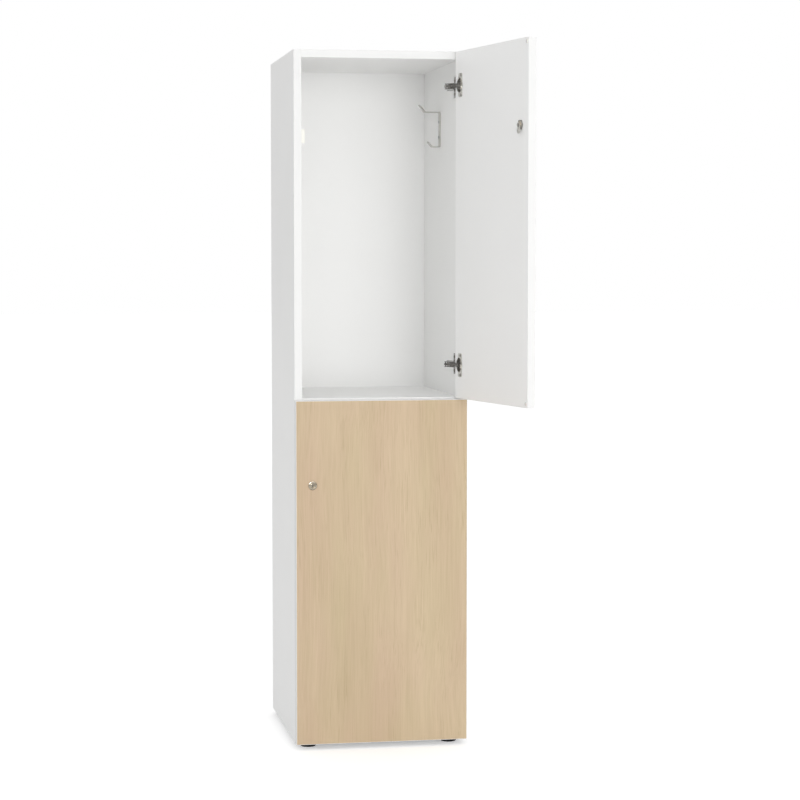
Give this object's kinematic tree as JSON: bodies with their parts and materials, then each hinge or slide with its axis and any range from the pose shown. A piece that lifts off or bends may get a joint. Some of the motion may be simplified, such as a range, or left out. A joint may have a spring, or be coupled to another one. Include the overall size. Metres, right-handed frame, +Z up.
{
  "type": "two-tier locker",
  "caption": "Tall narrow locker of white board with two stacked compartments, wood-look doors on concealed hinges with cam locks, coat hooks inside and low round feet.",
  "frame": {"origin": "middle of the carcass's underside, 13 mm above the floor that the feet stand on", "axes": "+X to the right seen from the front, +Y to the back, +Z up"},
  "size_m": [0.4687, 0.8316, 1.603],
  "materials": {
    "white_board": "white melamine-faced chipboard, satin",
    "oak_laminate": "light wood-look laminate with upright grain, satin",
    "white_edging": "white plastic edge band, satin",
    "white_coat": "steel with a creamy white powder coat",
    "black_plastic": "moulded, fine grain",
    "soft_bumper": "translucent soft pad",
    "beech": "plain turned beech",
    "nickel": "nickel-plated pressed steel",
    "bright_lock": "polished plate",
    "zinc": "zinc-plated steel"
  },
  "bodies": {
    "carcass": {"back_panel": "white_board", "back_screws": "zinc", "bottom_panel": "white_board", "cam_locks": "zinc", "carcass_edge_bands": "white_edging", "foot_screws": "zinc", "front_left_foot": "black_plastic", "front_right_foot": "black_plastic", "hinge_arm_screws": "nickel", "hinge_plate_screws": "nickel", "hook_screws": "zinc", "left_cam_bolts": "zinc", "left_dowels": "beech", "left_side_panel": "white_board", "lower_arm_pins": "nickel", "lower_coat_hook": "nickel", "lower_hinge_arms": "nickel", "lower_hinge_plates": "nickel", "lower_strike": "white_coat", "middle_shelf": "white_board", "rear_left_foot": "black_plastic", "rear_right_foot": "black_plastic", "right_cam_bolts": "zinc", "right_dowels": "beech", "right_side_panel": "white_board", "strike_screws": "zinc", "top_panel": "white_board", "upper_arm_pins": "nickel", "upper_coat_hook": "nickel", "upper_hinge_arms": "nickel", "upper_hinge_plates": "nickel", "upper_strike": "white_coat"},
    "upper_inner_links": {"upper_inner_links": "nickel"},
    "lower_inner_links": {"lower_inner_links": "nickel"},
    "upper_outer_links": {"upper_outer_links": "nickel"},
    "lower_outer_links": {"lower_outer_links": "nickel"},
    "upper_door": {"upper_cup_pins": "nickel", "upper_cup_screws": "nickel", "upper_door_bumpers": "soft_bumper", "upper_door_core": "white_board", "upper_door_edging": "white_edging", "upper_door_face": "oak_laminate", "upper_hinge_cups": "nickel", "upper_lock_barrel": "bright_lock", "upper_lock_nut": "nickel"},
    "lower_door": {"lower_cup_pins": "nickel", "lower_cup_screws": "nickel", "lower_door_bumpers": "soft_bumper", "lower_door_core": "white_board", "lower_door_edging": "white_edging", "lower_door_face": "oak_laminate", "lower_hinge_cups": "nickel", "lower_lock_barrel": "bright_lock", "lower_lock_nut": "nickel"},
    "upper_lock": {"upper_lever_screw": "nickel", "upper_lock_lever": "nickel", "upper_lock_plug": "bright_lock"},
    "lower_lock": {"lower_lever_screw": "nickel", "lower_lock_lever": "nickel", "lower_lock_plug": "bright_lock"}
  },
  "joints": [
    {"name": "lower_inner_link_turn", "type": "hinge", "parent": "carcass", "child": "lower_inner_links", "pos_m": [0.1688, -0.2199, 0.077], "axis": [0, 0, 1], "range_deg": [-42.6, 0]},
    {"name": "lower_door_swing", "type": "hinge", "parent": "lower_inner_links", "child": "lower_door", "pos_m": [0.18815, -0.2233, 0.077], "axis": [0, 0, 1], "range_deg": [0, 143.99]},
    {"name": "lower_outer_link_turn", "type": "hinge", "parent": "lower_door", "child": "lower_outer_links", "pos_m": [0.18935, -0.2196, 0.077], "axis": [0, 0, 1], "range_deg": [-131.02, 0]},
    {"name": "lower_lock_turn", "type": "hinge", "parent": "lower_door", "child": "lower_lock", "pos_m": [-0.161, -0.217, 0.5985], "axis": [0, 1, 0], "range_deg": [0, 90]},
    {"name": "upper_inner_link_turn", "type": "hinge", "parent": "carcass", "child": "upper_inner_links", "pos_m": [0.1688, -0.2199, 0.8725], "axis": [0, 0, 1], "range_deg": [0, 42.6]},
    {"name": "upper_door_swing", "type": "hinge", "parent": "upper_inner_links", "child": "upper_door", "pos_m": [0.18075, -0.2355, 0.8725], "axis": [0, 0, 1], "range_deg": [-143.99, 0]},
    {"name": "upper_outer_link_turn", "type": "hinge", "parent": "upper_door", "child": "upper_outer_links", "pos_m": [0.17688, -0.23505, 0.8725], "axis": [0, 0, 1], "range_deg": [0, 131.02]},
    {"name": "upper_lock_turn", "type": "hinge", "parent": "upper_door", "child": "upper_lock", "pos_m": [0.24358, -0.579, 1.403], "axis": [-0.9803, -0.1977, 0], "range_deg": [0, 90]}
  ],
  "couplings": [
    {"joint": "lower_inner_link_turn", "follows": "lower_door_swing", "ratio": -0.29577},
    {"joint": "lower_outer_link_turn", "follows": "lower_door_swing", "ratio": -0.90986},
    {"joint": "upper_inner_link_turn", "follows": "upper_door_swing", "ratio": -0.29577},
    {"joint": "upper_outer_link_turn", "follows": "upper_door_swing", "ratio": -0.90986}
  ]
}
